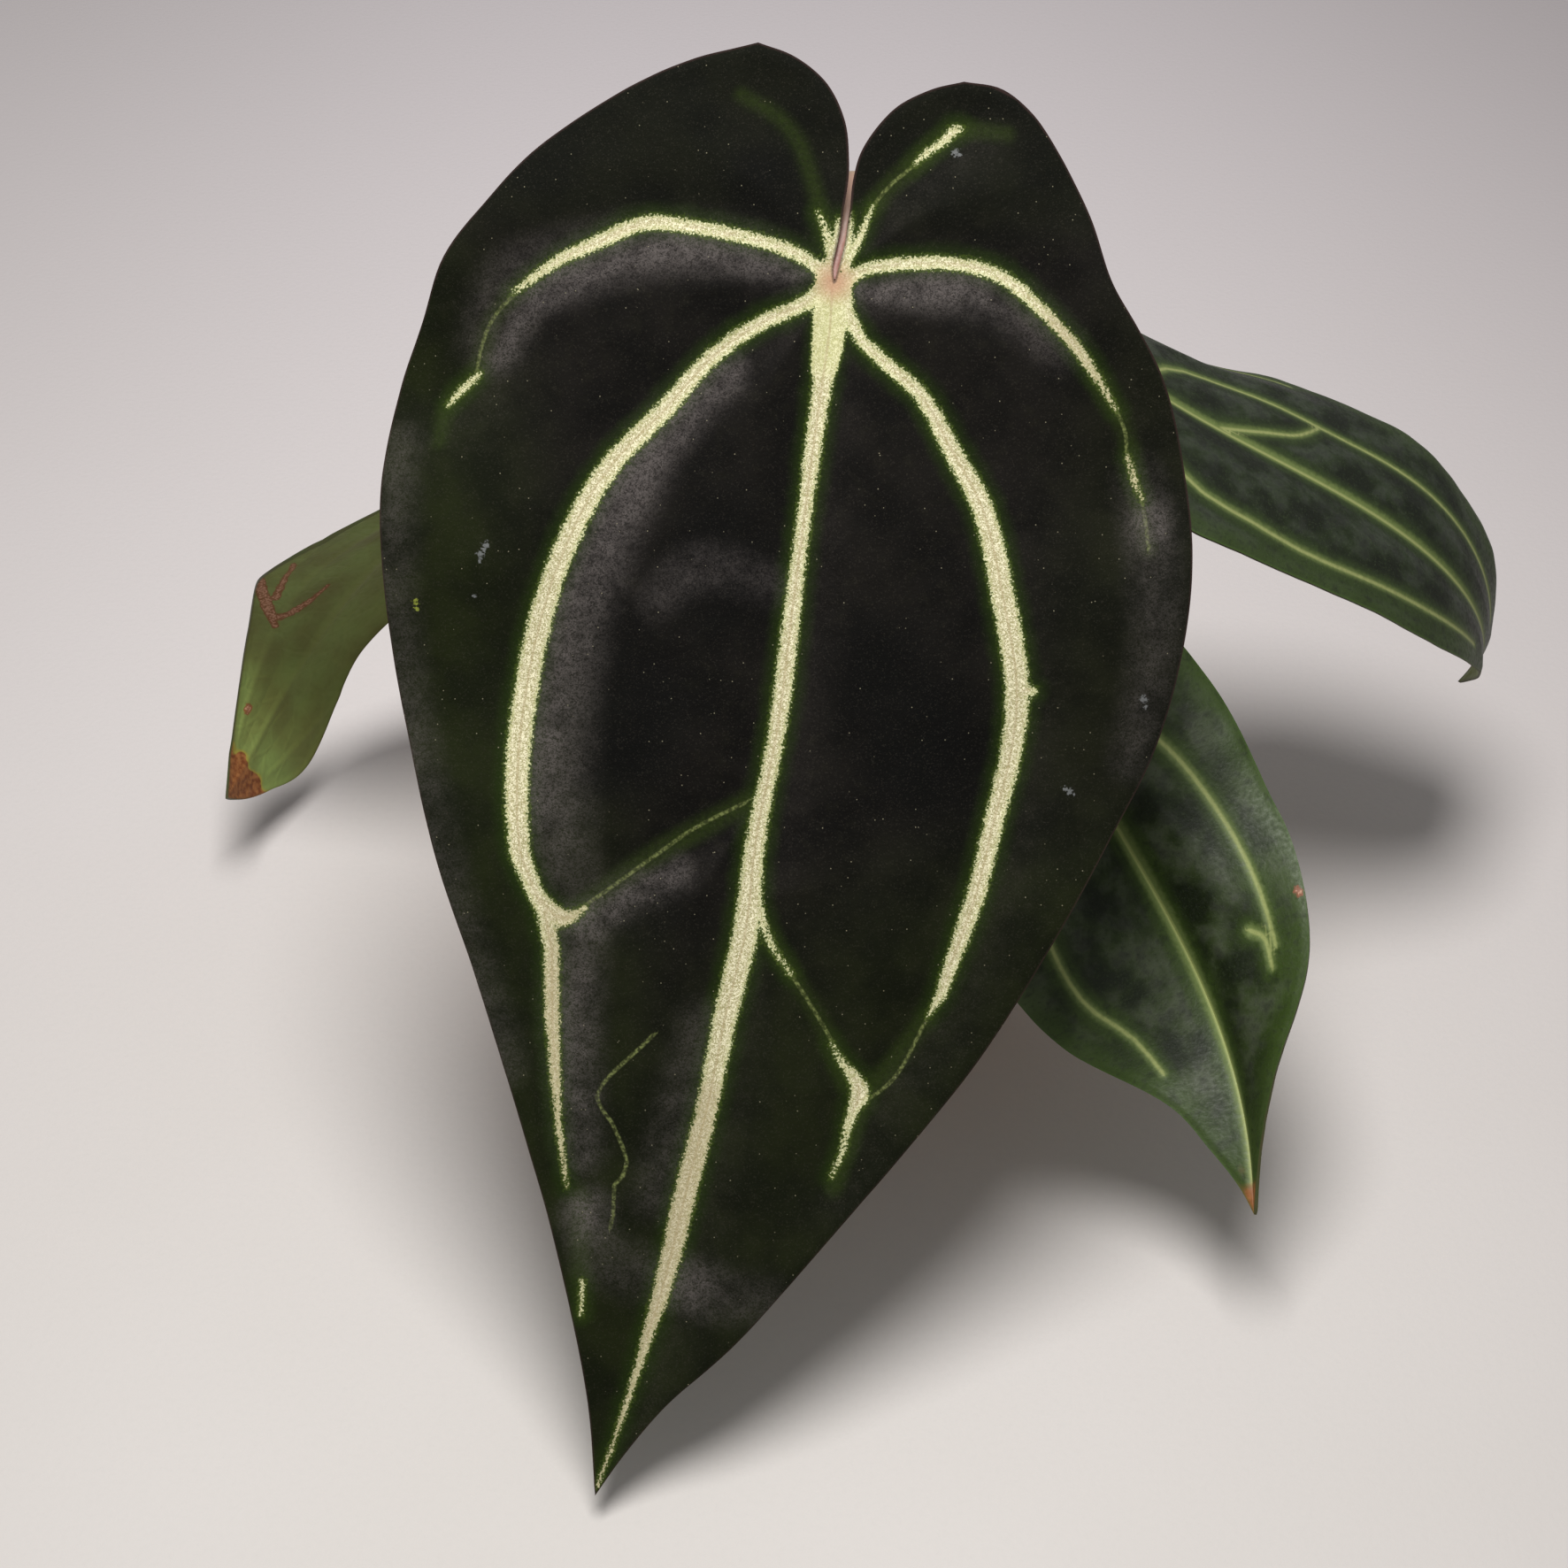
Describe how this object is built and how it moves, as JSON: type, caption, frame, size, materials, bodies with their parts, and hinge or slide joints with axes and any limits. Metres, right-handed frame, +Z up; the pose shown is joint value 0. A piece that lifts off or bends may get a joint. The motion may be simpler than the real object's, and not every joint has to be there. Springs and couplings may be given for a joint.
{
  "type": "potted anthurium",
  "caption": "Potted anthurium with heart-shaped velvety leaves and pale veins, growing from a short stem in bark mix in a plain round clay pot.",
  "frame": {"origin": "middle of the pot's flat base, on the surface that it stands on", "axes": "+Z up along the pot's axis; the large leaf faces -Y and +X is to its right as seen from in front"},
  "size_m": [0.2398, 0.1985, 0.1783],
  "materials": {
    "clay": "fired unglazed terracotta, matt, with faint turning marks",
    "bark": "rough chunks of composted bark with pale grit, matt",
    "stem": "woody green stem with dry leaf scars, satin",
    "velvet": "velvety near-black green with cream veins, soft sheen",
    "older_leaf": "dark green with light green veins, satin; paler beneath"
  },
  "bodies": {
    "root": {"pot": "clay", "potting_mix": "bark", "stem": "stem", "leaf_front": "velvet", "leaf_right": "older_leaf", "leaf_low": "older_leaf", "leaf_left": "older_leaf"}
  },
  "joints": []
}
